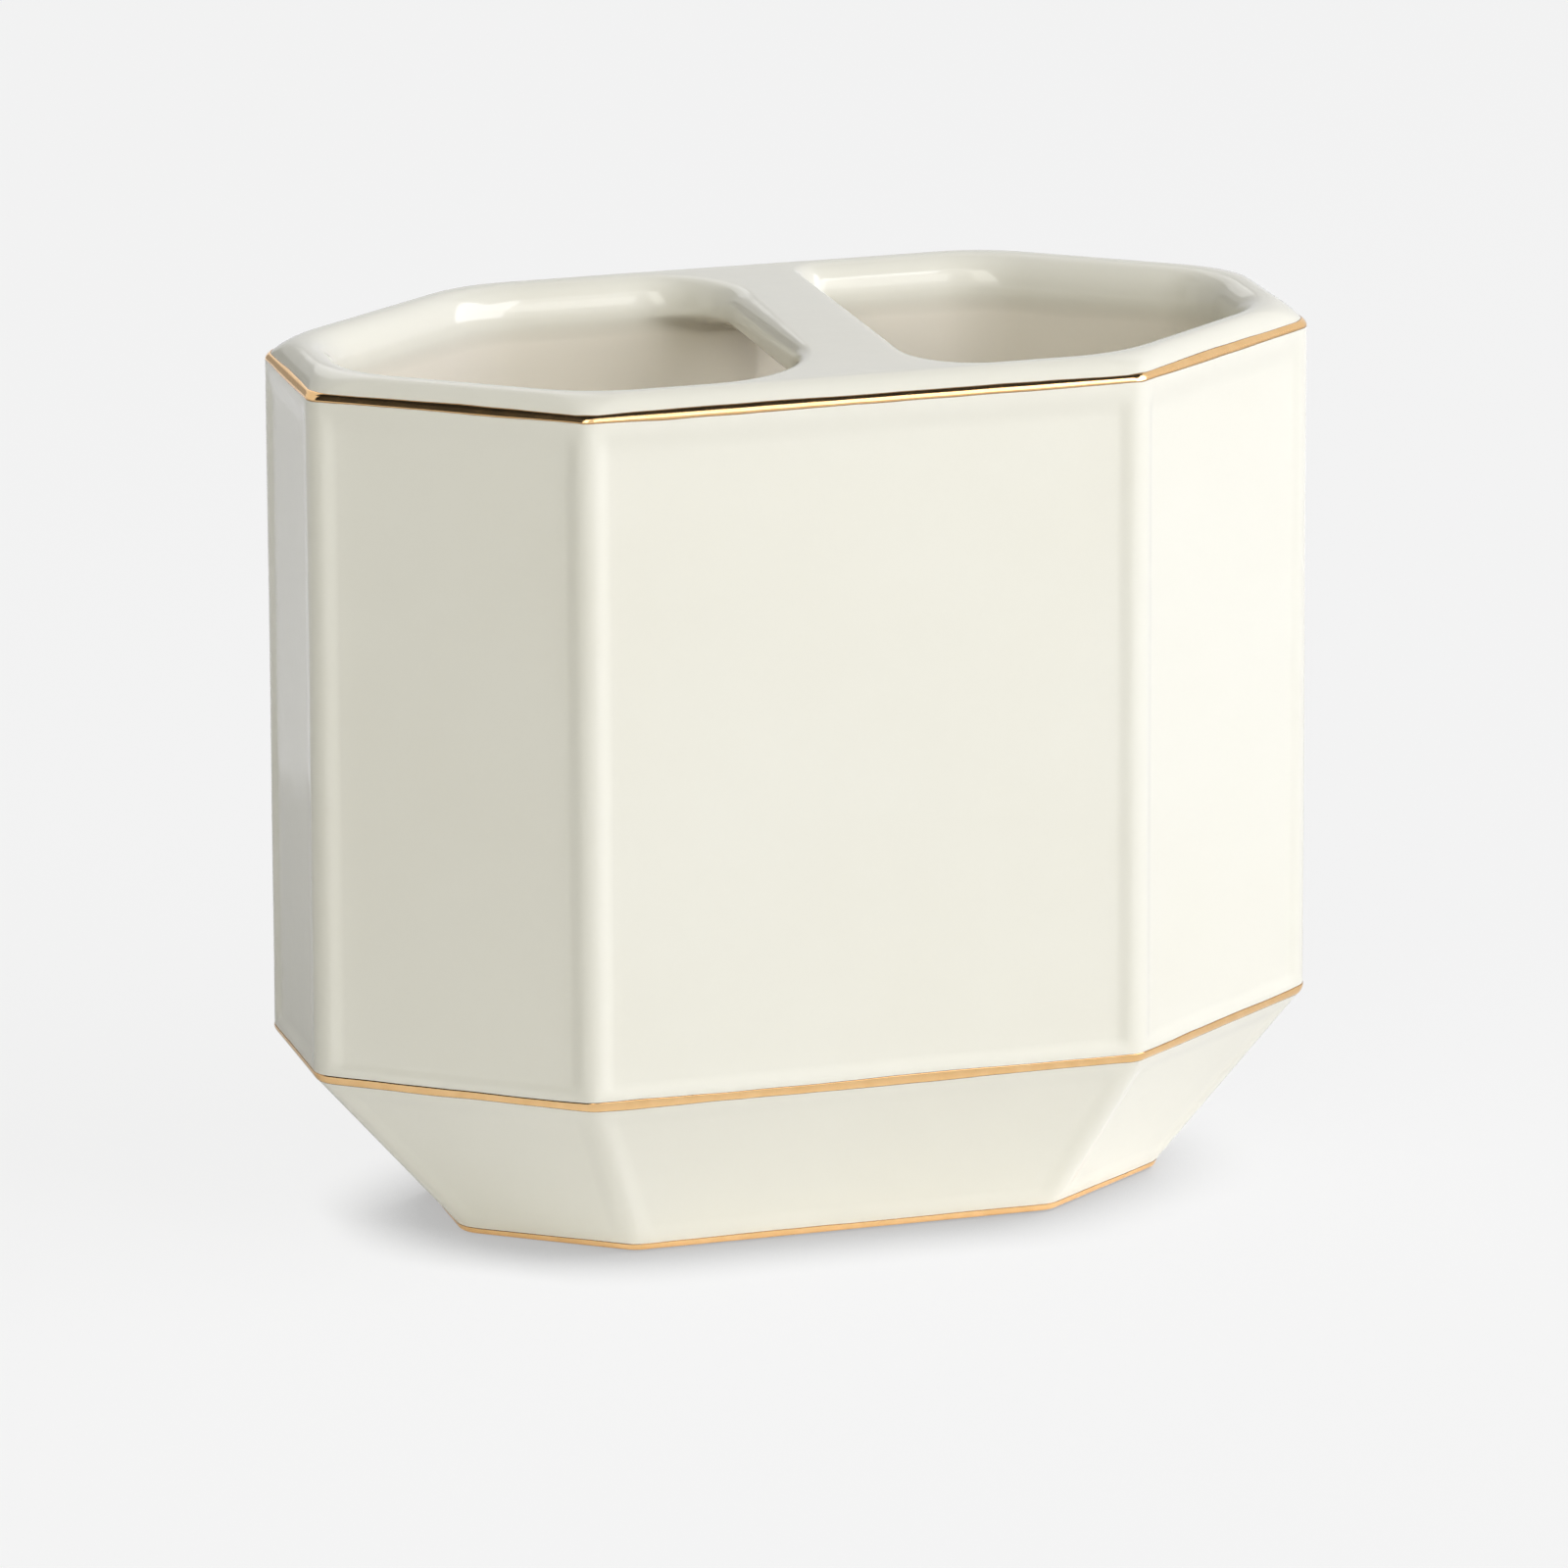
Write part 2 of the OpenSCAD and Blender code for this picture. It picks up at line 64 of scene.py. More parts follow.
FOOT_Z = PAD_PROUD
CROWN_Z = RIM_Z + CROWN_H
NOSE_Z = CROWN_Z - ROLL_H
NECK_Z = NOSE_Z - NECK_FALL
BELLY_Z = NOSE_Z + ROLL_H * BRIDGE_THIN - BRIDGE_BELLY
FLOOR_Z = FOOT_Z + FLOOR_T
ROLL_W = MOUTH_IN - CROWN_IN - LAND
CROWN_CORNER_R, CROWN_END_R = MOUTH_CORNER_R + ROLL_W + LAND, MOUTH_END_R + ROLL_W + LAND
RIM_CENTRE_Z = RIM_Z - RIM_R * RIM_SINK_SHARE

# Softening of the edges that the construction leaves as breaks
WAIST_SOFT, KNEE_SOFT, STEP_SOFT = 0.9, 6.0, 0.35

# How finely the surfaces are divided. The rim's gold line lies RIM_LINE_ROW rows below the end of its bend.
ARC_STEPS, FALL_STEPS, FILLET_STEPS, SIDE_STEPS = 10, 6, 9, 16
BRIDGE_FACE_STEPS, CHAMFER_STEPS, END_STEPS = 12, 14, 8
ROLL_STEPS, NECK_STEPS, LAND_STEPS = 14, 16, 3
WALL_ROWS, TAPER_ROWS, FOOT_ROWS, SOFT_STEPS = 30, 8, 5, 6
RIM_ROWS, CROWN_ROWS, RIM_LINE_ROW, LINE_ROWS = 10, 14, 3, 8
PAD_STEPS, PAD_BEND_STEPS = 64, 5

# Rings on flat and straight stretches, as distances from their edge or as shares of their length
HOLLOW_REACHES, FLOOR_REACHES = (3.0, 1.5), (0.8, 1.8)
FOOT_RING_SHARES, PAD_SHARES = (0.4, 0.7, 0.9), (0.001, 0.4, 0.8)
CAVITY_SHARES = 0.2, 0.35, 0.5, 0.65, 0.8

# Unevenness that casting and hand finishing leave, as depths and lengths
WAVE_DEPTH, WAVE_LENGTH = 0.10, 30.0
RIPPLE_DEPTH, RIPPLE_LENGTH, RIPPLE_START = 0.018, 7.0, Vector((7.3, 1.9, 4.1))

# The painted lines: how far each reaches below and above its row, and where its wandering starts.
# They stand LINE_LIFT above the glaze at their edges, and LINE_CROWN more in the middle.
LINES = {"rim": (0.75, 0.55, 3.0), "waist": (0.62, 0.62, 5.0), "foot": (0.35, 0.85, 8.0)}
LINE_LIFT, LINE_CROWN, LINE_ROOT, UPPER_EDGE_SHIFT = 0.03, 0.05, 0.03, 20
BRUSH_SLOW, BRUSH_SLOW_LENGTH, BRUSH_QUICK, BRUSH_QUICK_LENGTH = 0.16, 16, 0.07, 4.5

# Colours of the materials
# The cream inside the cavity is painted light: paler and warmer than outside, for the light that bounces
# there.
CREAM, WARM_CREAM, INSIDE_PAINTED_LIGHT_CREAM = (0.885, 0.868, 0.775), (0.868, 0.846, 0.744), (0.92, 0.868, 0.76)
CLAY, PALE_CLAY, PINHOLE_COLOUR = (0.74, 0.69, 0.60), (0.80, 0.76, 0.68), (0.42, 0.36, 0.28)
GOLD, DEEP_GOLD, THIN_GOLD = (0.88, 0.58, 0.29), (0.82, 0.52, 0.24), (0.36, 0.20, 0.09)
CLEAR_PALE, CLEAR_DARK = (0.86, 0.88, 0.87), (0.80, 0.82, 0.81)

# Their patterns, each as repeats per metre and a level of detail, and the range of noise that counts
TINT, GLOSS, GRAIN, PEEL, FINE_PEEL = (22, 3), (90, 2), (2600, 3), (210, 2), (1100, 1)
STREAKS, PAD_TINT, PAD_GRAIN, FLOOR_RAGS = (420, 4), (300, 2), (1500, 2), (60, 3)
NOISE_LOW, NOISE_HIGH = 0.3, 0.7

# Pinholes: cells per metre, a hole's radius in cells, and the share of cells without one
PINHOLE_CELLS, PINHOLE_R, PINHOLE_RARITY = 62, 0.016, 0.86

# Roughness, relief with its depth in metres, and how far from a line's middle its gold starts to thin
GLAZE_ROUGHNESS, CLAY_ROUGHNESS = (0.05, 0.10), 0.75
GOLD_ROUGHNESS, PAD_ROUGHNESS = (0.10, 0.17), (0.22, 0.34)
GLAZE_RELIEF, GOLD_RELIEF, FINE_PEEL_SHARE = (0.5, 0.00004), (0.2, 0.00002), 0.12
GLAZE_IOR, PAD_IOR, PAD_TRANSMISSION, THIN_GOLD_FROM = 1.52, 1.49, 0.8, 0.36

# Stage, in metres. CONTACT_LEAN makes the contact shadow deeper to the left and in front of the object.
# In reflections the floor glows, by NEAR_GLOW up to FAR_Y and by FAR_GLOW beyond it.
FLOOR_SIZE, BACKGROUND, WORLD_STRENGTH, WORLD_COLOUR = 8.0, 0.915, 0.02, (0.98, 0.99, 1.0, 1)
FLOOR_COLOUR, FLOOR_SHOWN_COLOUR, FLOOR_GLOW = 0.885, 0.08, 0.845
CONTACT_REACH, CONTACT_FROM, CONTACT_DEPTH, CONTACT_FADE = 0.013, 0.24, 0.46, 2.1
CONTACT_LEAN, CONTACT_SAMPLES = (0.4, 0.3, 0.87), 16
NEAR_GLOW, FAR_GLOW, FAR_COLOUR = 0.15, 0.45, (0.93, 0.94, 1.0, 1)
FAR_Y, FAR_WANDER = 0.19, 0.03

# Lamps: azimuth, elevation, width, height, power and colour. Reflections don't show the fills.
OBJECT_MIDDLE = Vector((0, 0, 0.055))
LAMP_DISTANCE = 1.6
WHITE, COOL, WARM = (1, 1, 1), (0.945, 0.953, 1.0), (1.0, 0.99, 0.9)
LAMPS = {
    "key": (57, 31.5, 1.5, 1.3, 24.2, COOL),
    "front_box": (20, 30, 0.5, 0.6, 1.8, WHITE),
    "left_box": (-38, 35, 1.2, 1.0, 9.1, WARM),
    "back_box": (180, 35, 0.6, 0.8, 1.3, WHITE),
    "top_box": (10, 64, 0.8, 0.8, 1.3, WHITE),
    "back_fill": (180, 3, 0.9, 0.9, 7.0, WHITE),
    "low_fill": (0, -89, 0.9, 0.9, 2.8, WHITE),
}
FILLS = "back_fill", "low_fill"

# Cards: azimuth, elevation, distance, width, height and glow
CARDS = {
    "flag_above": (0, 85, 0.9, 1.5, 1.0, 0.0),
    "flag_left": (-62, 32, 1.0, 0.9, 0.9, 0.0),
    "flag_behind": (-159, 7, 1.0, 0.32, 0.32, 0.40),
}
CARD_COLOUR = 0.02

# Camera, as fitted to the corners and painted lines of the photograph
VIEW_AZIMUTH, VIEW_ELEVATION, VIEW_ROLL = -16.41, 16.14, -0.235
VIEW_DISTANCE, VIEW_LENS, VIEW_SENSOR, VIEW_CLIP = 1.2838, 239.04, 36.0, (0.05, 30.0)
VIEW_AIM = Vector((-0.00086, 0.0, 0.05121))


# Plain geometry in plan, where a point is a complex number
def unit(v):
    return v / abs(v)


def unit_vector(v):
    return v / np.linalg.norm(v)


def mix(a, b, share):
    return a + (b - a) * share


def smooth(t):
    return t * t * (3 - 2 * t)


def inset(outline, d):
    """The eight-sided outline with every face moved in by d."""
    w, depth, front, end = outline
    n = unit(complex(depth - end, w - front))
    reach = n.real * front + n.imag * depth - d
    half_w, half_d = w - d, depth - d
    return np.array([half_w, half_d, (reach - n.imag * half_d) / n.real, (reach - n.real * half_w) / n.imag])


def corners(outline):
    """The eight corners, anticlockwise from the left end of the front face."""
    w, depth, front, end = outline
    return [
        complex(-front, -depth), complex(front, -depth), complex(w, -end), complex(w, end),
        complex(front, depth), complex(-front, depth), complex(-w, end), complex(-w, -end),
    ]


def corner_arc(loop, i, r, steps):
    """The rounded corner of a loop, from its first tangent point to its last."""
    here = loop[i]
    u = unit(here - loop[i - 1])
    v = unit(loop[(i + 1) % len(loop)] - here)
    turn = np.angle(v / u)
    centre = here - u * r * math.tan(turn / 2) + 1j * u * r
    return centre - 1j * u * r * np.exp(1j * turn * np.linspace(0, 1, steps + 1))


def between(a, b, count):
    """Evenly spaced values between a and b, without either."""
    return mix(a, b, np.arange(1, count + 1) / (count + 1))


RIM_OUTLINE = np.array([BODY_W, BODY_D, FRONT_W, END_W]) / 2
WAIST_OUTLINE = inset(RIM_OUTLINE, -DRAFT)
FOOT_OUTLINE = np.array([FOOT_W, FOOT_D, FOOT_FRONT_W, FOOT_END_W]) / 2
FALL = np.arange(1, FALL_STEPS + 1) / FALL_STEPS

# For each of the eight faces and the corners before them, anticlockwise from the front: whether the
# corner is at an end, and how many steps a plain face has, or the front or back beside the bridge
FRONT, BACK = 0, 4
IS_END = [0, 0, 1, 1, 0, 0, 1, 1]
PLAIN_STEPS = [BRIDGE_FACE_STEPS, CHAMFER_STEPS, END_STEPS, CHAMFER_STEPS] * 2


def face_points(start, end, dip, i):
    """The points inside face i, which is dished between its rounded edges."""
    length = abs(end - start)
    v = (end - start) / length
    fall = min(RIB_FALL, length * WIDEST_FALL_SHARE)
    if i in (FRONT, BACK):
        middle = BRIDGE_SHIFT - start.real if i == FRONT else start.real - BRIDGE_SHIFT
        before, after = (FRONT_LEFT_R, FRONT_RIGHT_R) if i == FRONT else (BACK_RIGHT_R, BACK_LEFT_R)
        low, high = middle - BRIDGE_W / 2 - before, middle + BRIDGE_W / 2 + after
        inner = np.concatenate([
            between(fall, low, BRIDGE_FACE_STEPS),
            np.linspace(low, middle, FILLET_STEPS + 1),
            np.linspace(middle, high, FILLET_STEPS + 1)[1:],
            between(high, length - fall, BRIDGE_FACE_STEPS),
        ])
    else:
        inner = between(fall, length - fall, PLAIN_STEPS[i])
    along = np.concatenate([FALL * fall, inner, length - FALL[::-1] * fall])
    depth = np.concatenate([smooth(FALL), np.ones(len(inner)), smooth(FALL[::-1])])
    return start + v * along + 1j * v * dip * depth


def lifted(plan, z):
    """Points in plan as rows of x, y and z."""
    return np.stack([plan.real, plan.imag, np.broadcast_to(z, plan.shape)], axis=1)


def ring(values):
    """One ring of the loft, from a station's values: an outline, two corner radii, a dip and a height."""
    outline, radii, dip, z = values[:4], values[4:6], values[6], values[7]
    loop = corners(outline)
    arcs = [corner_arc(loop, i, radii[end], ARC_STEPS) for i, end in enumerate(IS_END)]
    parts = []
    for i, arc in enumerate(arcs):
        after = arcs[(i + 1) % len(arcs)]
        parts += [arc, face_points(arc[-1], after[0], dip, i)]
    return lifted(np.concatenate(parts), z)


def station(outline, r, dip, z, end_r=None):
    """A station as one row of values, so that two stations can be mixed."""
    return np.array([*outline, r, r if end_r is None else end_r, dip, z])


# Stations of the loft, from the hollow under the foot to the crown
def foot_station(reach, rise):
    return station(inset(FOOT_OUTLINE, reach), FOOT_EDGE_R, 0, FOOT_Z + rise)


def taper_station(z, dip):
    share = (z - FOOT_Z - FOOT_R) / (WAIST_Z - FOOT_Z - FOOT_R)
    return station(mix(FOOT_OUTLINE, WAIST_OUTLINE, share), mix(FOOT_EDGE_R, EDGE_R, share), dip, z)


def wall_station(z, dip):
    share = (RIM_CENTRE_Z - z) / (RIM_CENTRE_Z - WAIST_Z)
    return station(inset(RIM_OUTLINE, -DRAFT * share), EDGE_R, dip, z)


def rim_station(angle):
    return top_station(RIM_R * (1 - math.cos(angle)), RIM_CENTRE_Z + RIM_R * math.sin(angle))


def top_station(reach, z):
    """A station above the wall, whose corners grow rounder towards the crown."""
    growth = (reach / CROWN_IN) ** CORNER_GROWTH
    corner_r, end_r = mix(EDGE_R, CROWN_CORNER_R, growth), mix(EDGE_R, CROWN_END_R, growth)
    return station(inset(RIM_OUTLINE, reach), corner_r, 0, z, end_r)


def crown_station(share):
    last = math.radians(RIM_LAST_ANGLE)
    reach = mix(RIM_R * (1 - math.cos(last)), CROWN_IN, share)
    rise = 1 - (1 - share) ** CROWN_BULGE
    return top_station(reach, mix(RIM_CENTRE_Z + RIM_R * math.sin(last), CROWN_Z, rise))


def dished(make, low, high, dip, rows, heights_of_falls):
    """The stations of a wall between two plain borders, which is dished between them."""
    low_fall, high_fall = heights_of_falls
    falls = np.linspace(0, 1, FALL_STEPS + 1)
    up = [make(low + low_fall * t, dip * smooth(t)) for t in falls]
    middle = [make(z, dip) for z in between(low + low_fall, high - high_fall, rows)]
    down = [make(high - high_fall * t, dip * smooth(t)) for t in falls[::-1]]
    return up + middle + down


def softened(before, corner, after, reach):
    """A break between two stretches of the loft, rounded over a reach on either side."""
    depth_and_height = [1, 7]
    ends = []
    for other in (before, after):
        share = reach / np.linalg.norm((other - corner)[depth_and_height])
        ends.append(mix(corner, other, min(share, 0.5)))
    first, last = ends
    return [mix(mix(first, corner, t), mix(corner, last, t), t) for t in np.linspace(0, 1, SOFT_STEPS + 1)]


def foot_stations():
    """The hollow under the foot, its flat ring and its rounded edge."""
    hollow = foot_station(FOOT_RING_W + RECESS_H, RECESS_H)
    step, foot_low = foot_station(FOOT_RING_W, 0), foot_station(FOOT_R, 0)
    stations = [foot_station(FOOT_RING_W + RECESS_H + r, RECESS_H) for r in HOLLOW_REACHES]
    stations += softened(stations[-1], hollow, step, STEP_SOFT)
    stations += softened(hollow, step, foot_low, STEP_SOFT)
    stations += [mix(step, foot_low, t) for t in FOOT_RING_SHARES]
    for a in np.linspace(0, math.pi / 2, SOFT_STEPS + 1):
        stations.append(foot_station(FOOT_R * (1 - math.sin(a)), FOOT_R * (1 - math.cos(a))))
    return stations


def outer_stations():
    """All stations of the outside, and the rows that the three painted lines follow."""
    taper_low, taper_high = FOOT_Z + FOOT_LINE_H + BORDER_H, WAIST_Z - WAIST_LINE_H / 2 - BORDER_H
    wall_low, wall_high = WAIST_Z + WAIST_LINE_H / 2 + BORDER_H, RIM_CENTRE_Z - BORDER_H
    below_waist, above_waist = taper_station(taper_high, 0), wall_station(wall_low, 0)
    stations = foot_stations()
    rows = {"foot": len(stations) - 1 - SOFT_STEPS // 2}
    stations += [taper_station(z, 0) for z in between(FOOT_Z + FOOT_R, taper_low, FOOT_ROWS)]
    stations += dished(taper_station, taper_low, taper_high, TAPER_DIP, TAPER_ROWS, TAPER_FALLS)
    stations += softened(below_waist, wall_station(WAIST_Z, 0), above_waist, WAIST_SOFT)
    rows["waist"] = len(stations) - 1 - SOFT_STEPS // 2
    stations += dished(wall_station, wall_low, wall_high, PANEL_DIP, WALL_ROWS, WALL_FALLS)
    stations += [rim_station(math.radians(a)) for a in np.linspace(0, RIM_LAST_ANGLE, RIM_ROWS + 1)]
    rows["rim"] = len(stations) - 1 - RIM_LINE_ROW
    stations += [crown_station(t) for t in np.linspace(0, 1, CROWN_ROWS + 1)[1:]]
    return stations, rows


def cavity_stations():
    """The cavity under the mouths, from its neck to its floor."""
    low_z = FLOOR_Z + FLOOR_R
    low = taper_station(low_z, 0)[:4]
    neck = station(inset(RIM_OUTLINE, MOUTH_IN - LIP_OVER), MOUTH_CORNER_R, 0, NECK_Z, MOUTH_END_R)
    shoulder = station(inset(RIM_OUTLINE, WALL), CAVITY_R, 0, NECK_Z - NECK_FALL * SHOULDER_SHARE)
    knee = station(inset(WAIST_OUTLINE, WALL), CAVITY_R, 0, WAIST_Z + WALL * KNEE_SHARE)
    foot = station(inset(low, TAPER_WALL), CAVITY_R, 0, low_z)
    stations = [neck] + softened(neck, shoulder, knee, KNEE_SOFT)
    stations += [mix(shoulder, knee, t) for t in CAVITY_SHARES]
    stations += softened(shoulder, knee, foot, KNEE_SOFT)
    for a in np.linspace(0, math.pi / 2, SOFT_STEPS + 1):
        reach = TAPER_WALL + FLOOR_R * (1 - math.cos(a))
        stations.append(station(inset(low, reach), CAVITY_R, 0, FLOOR_Z + FLOOR_R * (1 - math.sin(a))))
    for r in FLOOR_REACHES:
        stations.append(station(inset(low, TAPER_WALL + FLOOR_R + r), CAVITY_R, 0, FLOOR_Z))
    return stations


# The mouths. A loop runs from the middle of the fillet at the bridge's front end, round the mouth,
# and back along the bridge. It has one point for each point of half a ring and of the spine.
def mouth_loop(edge, fillets, away, side_away, z):
    """A loop that lies away from the mouth's edge at the walls, and side_away from it at the bridge."""
    half_w, half_d, front_x, end_y = inset(RIM_OUTLINE, MOUTH_IN - away)
    start, end = edge - side_away
    loop = [
        complex(start, -half_d), complex(front_x, -half_d), complex(half_w, -end_y),
        complex(half_w, end_y), complex(front_x, half_d), complex(end, half_d),
    ]
    front_r, back_r = fillets + side_away
    front = corner_arc(loop, 0, front_r, 2 * FILLET_STEPS)
    back = corner_arc(loop, len(loop) - 1, back_r, 2 * FILLET_STEPS)
    radii = [MOUTH_CORNER_R, MOUTH_END_R, MOUTH_END_R, MOUTH_CORNER_R]
    arcs = [corner_arc(loop, i, r + away, ARC_STEPS) for i, r in enumerate(radii, 1)]
    parts = [front[FILLET_STEPS:]]
    for i, (a, b) in enumerate(zip([front, *arcs], [*arcs, back])):
        v = unit(b[0] - a[-1])
        fall = min(RIB_FALL, abs(b[0] - a[-1]) * WIDEST_FALL_SHARE)
        early = a[-1] + v * fall * FALL if i > 0 else a[:0]
        late = b[0] - v * fall * FALL[::-1] if i < len(arcs) else b[:0]
        first = early[-1] if len(early) else a[-1]
        last = late[0] if len(late) else b[0]
        parts += [early, between(first, last, PLAIN_STEPS[i]), late, b]
    parts += [between(back[-1], front[0], SIDE_STEPS), front[:FILLET_STEPS]]
    return lifted(np.concatenate(parts), z)


def spine(half_length, z, end_z):
    """The bridge's middle line, from back to front, with as many points as a mouth's side has."""
    edge = inset(RIM_OUTLINE, MOUTH_IN)[1]
    steps = np.arange(1, FILLET_STEPS + 1) / FILLET_STEPS
    back_end, front_end = edge - (BACK_LEFT_R + BACK_RIGHT_R) / 2, (FRONT_LEFT_R + FRONT_RIGHT_R) / 2 - edge
    back, front = mix(half_length, back_end, steps), mix(-half_length, front_end, steps)
    y = np.concatenate([back, between(back_end, front_end, SIDE_STEPS), front[::-1]])
    clear = np.minimum(1, (half_length - abs(y)) / BELLY_FALL)
    return np.stack([np.full(len(y), BRIDGE_SHIFT), y, mix(end_z, z, 1 - (1 - clear) ** 2)], axis=1)


def under_shares(count):
    """How far each point of a mouth's loop turns under the bridge: none at the walls, all at its side."""
    turn = smooth(np.linspace(0, 1, 2 * FILLET_STEPS + 1))
    early, late = turn[:FILLET_STEPS + 1], turn[FILLET_STEPS + 1:]
    side = np.concatenate([late, np.ones(SIDE_STEPS), late[::-1]])
    walls = np.zeros(count - len(side) - 2 * len(early))
    return np.concatenate([early[::-1], walls, early, side])[:, None]


def neck_loops(nose, target):
    """The loops from a mouth's nose to the cavity's neck and to the middle of the bridge's underside."""
    under = under_shares(len(nose))
    loops = []
    for t in between(0, 1, NECK_STEPS - 1):
        level = mix(smooth(t), 1 - math.cos(math.pi / 2 * t), under)
        drop = mix(t, math.sin(math.pi / 2 * t), under)
        share = np.concatenate([level, level, drop], axis=1)
        loops.append(mix(nose, target, share))
    return loops


def half_turn(points):
    """The points turned by half round the vertical axis, as the left mouth is built like the right one."""
    return points * np.array([-1, -1, 1])


def roll_loops(edge, fillets, roll_ws):
    """The loops of a mouth's rolled edge, from the crown down to its nose."""
    loops = []
    for angle in np.linspace(0, math.pi / 2, ROLL_STEPS + 1):
        away = 1 - math.sin(angle)
        loop = mouth_loop(edge, np.array(fillets), ROLL_W * away, np.array(roll_ws) * away, CROWN_Z)
        loop[:, 2] -= ROLL_H * (1 - math.cos(angle)) * (1 - BRIDGE_THIN * under_shares(len(loop))[:, 0])
        loops.append(loop)
    return loops


# Meshes
TINY = 1e-12


class Grid:
    """Collects points and the quads between loops of them. A point's depth inside is 0 to 1."""

    def __init__(self):
        self.points, self.faces, self.inside = [], [], []

    def add(self, points, inside=0.0):
        start = sum(len(p) for p in self.points)
        self.points.append(np.asarray(points))
        self.inside += [inside] * len(points)
        return list(range(start, start + len(points)))

    def bands(self, loops):
        for a, b in zip(loops, loops[1:]):
            for k in range(len(a)):
                n = (k + 1) % len(a)
                self.faces.append((a[k], a[n], b[n], b[k]))

    def array(self):
        return np.concatenate(self.points)


def face_normals(points, faces):
    """The normal at each point, as the mean of those of its quads, weighted by area."""
    quads = np.array([f for f in faces if len(f) == 4])
    cross = np.cross(points[quads[:, 2]] - points[quads[:, 0]], points[quads[:, 3]] - points[quads[:, 1]])
    normals = np.zeros_like(points)
    for k in range(4):
        np.add.at(normals, quads[:, k], cross)
    lengths = np.linalg.norm(normals, axis=1, keepdims=True)
    return normals / np.maximum(lengths, TINY)


def unevenness(p):
    """How deep the surface lies below its ideal form at a point."""
    wave = 0.5 + 0.5 * noise.noise(Vector(p) / WAVE_LENGTH)
    ripple = 0.5 + 0.5 * noise.noise(Vector(p) / RIPPLE_LENGTH + RIPPLE_START)
    return WAVE_DEPTH * wave + RIPPLE_DEPTH * ripple


def piece(name, points, faces, smooth_shaded=True):
    """A mesh object in the frame, made from points in millimetres."""
    mesh = bpy.data.meshes.new(name)
    mesh.from_pydata((np.asarray(points) * MM).tolist(), [], [tuple(f) for f in faces])
    mesh.validate()
    mesh.polygons.foreach_set("use_smooth", [smooth_shaded] * len(mesh.polygons))
    obj = bpy.data.objects.new(name, mesh)
    bpy.context.scene.collection.objects.link(obj)
    return obj


def paint(obj, name, values):
    """A value for each point of a mesh, which its material reads."""
    layer = obj.data.attributes.new(name, "FLOAT", "POINT")
    layer.data.foreach_set("value", np.asarray(values, np.float32))


def half_of(ids, start):
    """Half of a ring's points, from one end of the bridge to the other."""
    return [ids[(start + k) % len(ids)] for k in range(len(ids) // 2 + 1)]


def add_mouth(grid, top, under, roll):
    """Joins the crown to the cavity's neck and the bridge's underside by way of a mouth's rolled edge."""
    every = grid.array()
    land = [mix(every[top], roll[0], t) for t in between(0, 1, LAND_STEPS - 1)]
    neck = neck_loops(roll[-1], every[under])
    ids = [grid.add(loop) for loop in land + roll]
    ids += [grid.add(loop, (k + 1) / len(neck)) for k, loop in enumerate(neck)]
    grid.bands([top] + ids + [under])


def add_mouths(grid, crown, neck):
    """Both mouths and the bridge between them, from the crown's last ring to the cavity's first."""
    crown_spine = grid.add(spine(inset(RIM_OUTLINE, CROWN_IN)[1], CROWN_Z, CROWN_Z))
    belly_spine = grid.add(spine(inset(RIM_OUTLINE, MOUTH_IN - LIP_OVER)[1], BELLY_Z, NECK_Z), 1.0)
    front_end = ARC_STEPS + 1 + FALL_STEPS + BRIDGE_FACE_STEPS + FILLET_STEPS
    back_end = front_end + len(crown) // 2

    right_edge, right_fillets = BRIDGE_W / 2 + BRIDGE_SHIFT, (FRONT_RIGHT_R, BACK_RIGHT_R)
    right_roll = roll_loops(right_edge, right_fillets, (RIGHT_ROLL_W, RIGHT_ROLL_W))
    top = half_of(crown, front_end) + crown_spine
    under = half_of(neck, front_end) + belly_spine
    add_mouth(grid, top, under, right_roll)

    left_edge, left_fillets = BRIDGE_W / 2 - BRIDGE_SHIFT, (BACK_LEFT_R, FRONT_LEFT_R)
    left_roll = roll_loops(left_edge, left_fillets, (BACK_LEFT_ROLL_W, FRONT_LEFT_ROLL_W))
    top = half_of(crown, back_end) + crown_spine[::-1]
    under = half_of(neck, back_end) + belly_spine[::-1]
    add_mouth(grid, top, under, [half_turn(loop) for loop in left_roll])


def cast(grid, caps):
    """The grid's points as cast, sunk by the unevenness, and its normals. The flat caps sink evenly."""
    points = grid.array()
    normals = face_normals(points, grid.faces)
    depth = np.array([unevenness(p) for p in points])
    depth[caps] = depth[caps].mean()
    depth[points[:, 2] < FOOT_Z + FOOT_R] = 0
    return points - normals * depth[:, None], normals


def bare_share(stations, outer, count):
    """1 for the points of the foot's flat ring, which carries no glaze, and 0 for all others."""
    share = np.zeros(count)
    first = len(HOLLOW_REACHES) + SOFT_STEPS // 2
    for values, ids in zip(stations[first:], outer[first:]):
        height = values[-1]
        if height <= FOOT_Z + FOOT_R * BARE_SHARE:
            share[ids] = 1
    return share


def build_vessel():
    """The casting, and what the painted lines need: its outer rings as placed, their normals and rows."""
    grid = Grid()
    stations, rows = outer_stations()
    outer = [grid.add(ring(s)) for s in stations]
    cavity = [grid.add(ring(s), 1.0) for s in cavity_stations()]
    add_mouths(grid, outer[-1], cavity[0])
    grid.bands(outer)
    grid.bands(cavity)
    grid.faces += [tuple(outer[0][::-1]), tuple(cavity[-1])]
    points, normals = cast(grid, outer[0] + cavity[-1])
    vessel = piece("glazed_vessel", points, grid.faces)
    paint(vessel, "bare", bare_share(stations, outer, len(points)))
    # The depth inside also places the painted bounce light of the cavity's cream.
    paint(vessel, "inside", grid.inside)
    return vessel, points[np.array(outer)], normals[np.array(outer)], rows


